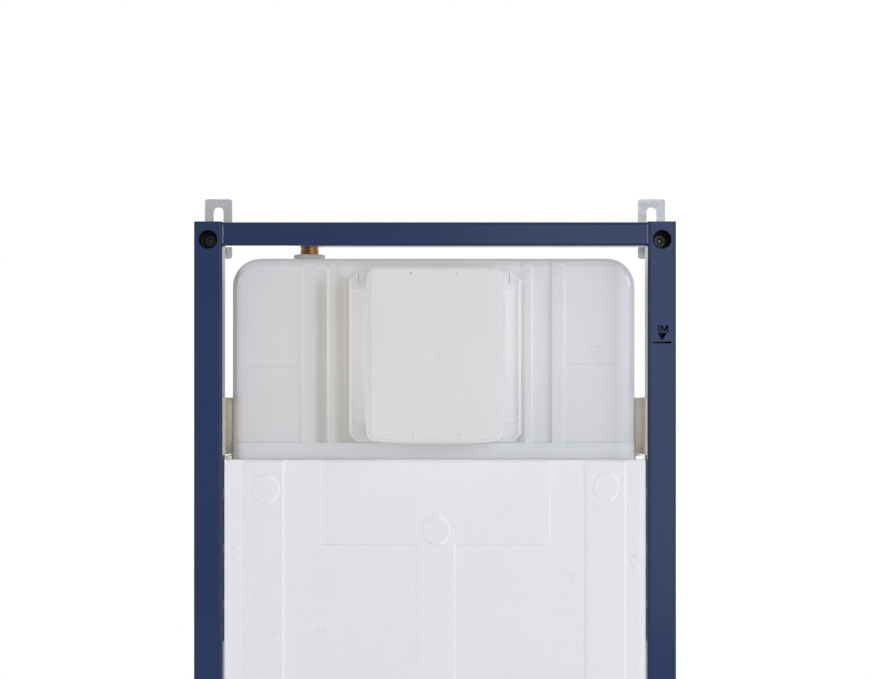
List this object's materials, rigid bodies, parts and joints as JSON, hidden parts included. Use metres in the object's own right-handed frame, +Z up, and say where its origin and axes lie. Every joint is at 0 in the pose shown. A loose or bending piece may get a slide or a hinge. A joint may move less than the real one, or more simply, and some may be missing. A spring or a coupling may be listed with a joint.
{
  "type": "wall hung toilet frame",
  "caption": "Steel in-wall frame for a wall hung toilet, with a concealed plastic cistern, foam insulation, flush pipe, soil bend, telescopic legs and screw-adjusted wall brackets.",
  "frame": {"origin": "on the floor, on the centre line, midway between the two floor bolt holes", "axes": "+X along the wall to the right seen from the room, +Y back to the wall, +Z up"},
  "size_m": [0.54, 0.178, 1.162],
  "materials": {
    "frame_paint": "navy powder coat",
    "zinc_steel": "zinc plated",
    "rod_steel": "black oxide",
    "strap_steel": "galvanised",
    "cistern_plastic": "translucent moulded",
    "cover_plastic": "translucent moulded",
    "brass": "turned",
    "foam": "moulded foam",
    "flush_plastic": "moulded",
    "rubber": "black",
    "soil_plastic": "black moulded"
  },
  "bodies": {
    "frame": {"post_left": "frame_paint", "post_right": "frame_paint", "post_cap_left": "frame_paint", "post_cap_right": "frame_paint", "top_rail": "frame_paint", "pan_fixing_plate": "frame_paint", "leg_left": "zinc_steel", "leg_right": "zinc_steel", "foot_plate_left": "zinc_steel", "foot_plate_right": "zinc_steel", "leg_bolt_left": "zinc_steel", "leg_bolt_right": "zinc_steel", "leg_nut_left": "zinc_steel", "leg_nut_right": "zinc_steel", "rod_nut_left": "zinc_steel", "rod_nut_right": "zinc_steel", "stud_left": "zinc_steel", "stud_right": "zinc_steel", "stud_nuts_left": "zinc_steel", "stud_nuts_right": "zinc_steel", "soil_clip": "zinc_steel", "rear_strap": "strap_steel", "cistern_body": "cistern_plastic", "access_collar": "cover_plastic", "access_cover": "cover_plastic", "inlet_collar": "cover_plastic", "inlet_nipple": "brass", "insulation_panel": "foam", "insulation_side_left": "foam", "insulation_side_right": "foam", "flush_pipe": "flush_plastic", "flush_coupling": "flush_plastic", "flush_grommet": "rubber", "soil_bend": "soil_plastic"},
    "wall_anchor_left": {"wall_bracket_left": "zinc_steel", "adjusting_rod_left": "rod_steel", "bracket_nut_left": "zinc_steel"},
    "wall_anchor_right": {"wall_bracket_right": "zinc_steel", "adjusting_rod_right": "rod_steel", "bracket_nut_right": "zinc_steel"}
  },
  "joints": [
    {"name": "left_anchor_slide", "type": "slide", "parent": "frame", "child": "wall_anchor_left", "axis": [0, 1, 0], "range_m": [-0.014, 0.01]},
    {"name": "right_anchor_slide", "type": "slide", "parent": "frame", "child": "wall_anchor_right", "axis": [0, 1, 0], "range_m": [-0.014, 0.01]}
  ]
}
